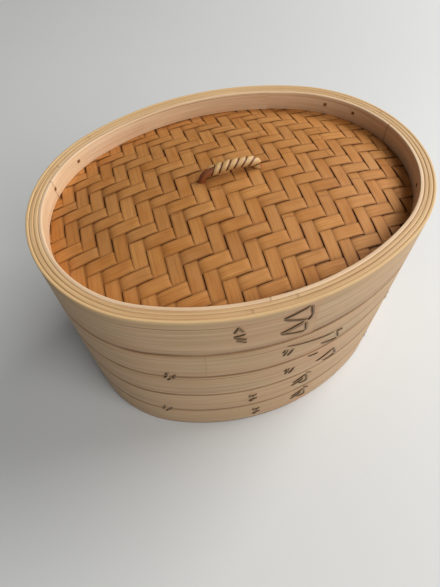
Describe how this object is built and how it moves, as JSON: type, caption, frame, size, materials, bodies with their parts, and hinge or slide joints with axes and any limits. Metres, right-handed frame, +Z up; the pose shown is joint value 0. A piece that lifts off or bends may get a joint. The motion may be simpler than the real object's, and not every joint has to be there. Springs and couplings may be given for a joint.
{
  "type": "bamboo steamer basket",
  "caption": "Oval stacking bamboo steamer: slatted tiers in double-banded hoops and a woven, bowed lid with a cane handle; tiers and lid lift off.",
  "frame": {"origin": "on the ground at the middle of the lower tier", "axes": "+X along the long side of the oval, +Y away from the lashed front, +Z up"},
  "size_m": [0.3, 0.2296, 0.2053],
  "materials": {
    "band_bamboo": "satin",
    "hoop_bamboo": "satin",
    "splint_bamboo": "satin",
    "lining_bamboo": "matte",
    "slat_bamboo": "satin",
    "peg_bamboo": "matte",
    "cane": "satin",
    "handle_cane": "satin"
  },
  "bodies": {
    "lower_tier": {"lower_tier_wall_hoop": "hoop_bamboo", "lower_tier_lower_band": "band_bamboo", "lower_tier_upper_band": "band_bamboo", "lower_tier_ledge_ring": "hoop_bamboo", "lower_tier_crossbars": "slat_bamboo", "lower_tier_floor_slats": "slat_bamboo", "lower_tier_floor_pegs": "peg_bamboo", "lower_tier_keeper_ring": "hoop_bamboo", "lower_tier_wall_pegs": "peg_bamboo", "lower_tier_stitches": "cane", "lower_tier_lashings": "cane"},
    "upper_tier": {"upper_tier_wall_hoop": "hoop_bamboo", "upper_tier_lower_band": "band_bamboo", "upper_tier_upper_band": "band_bamboo", "upper_tier_ledge_ring": "hoop_bamboo", "upper_tier_crossbars": "slat_bamboo", "upper_tier_floor_slats": "slat_bamboo", "upper_tier_floor_pegs": "peg_bamboo", "upper_tier_keeper_ring": "hoop_bamboo", "upper_tier_wall_pegs": "peg_bamboo", "upper_tier_stitches": "cane", "upper_tier_lashings": "cane"},
    "lid": {"lid_outer_hoop": "band_bamboo", "lid_wall_hoop": "hoop_bamboo", "lid_inner_hoop": "hoop_bamboo", "lid_lining_hoop": "hoop_bamboo", "lid_support_hoop": "hoop_bamboo", "lid_rim_pegs": "peg_bamboo", "lid_weave": "splint_bamboo", "lid_lining": "lining_bamboo", "lid_ribs": "slat_bamboo", "lid_toggles": "peg_bamboo", "lid_handle": "cane", "lid_handle_binding": "handle_cane", "lid_stitches": "cane", "lid_lashings": "cane"}
  },
  "joints": [
    {"name": "upper_tier_lift", "type": "slide", "parent": "lower_tier", "child": "upper_tier", "axis": [0, 0, 1], "range_m": [0, 0.1]},
    {"name": "lid_lift", "type": "slide", "parent": "upper_tier", "child": "lid", "axis": [0, 0, 1], "range_m": [0, 0.1]}
  ]
}
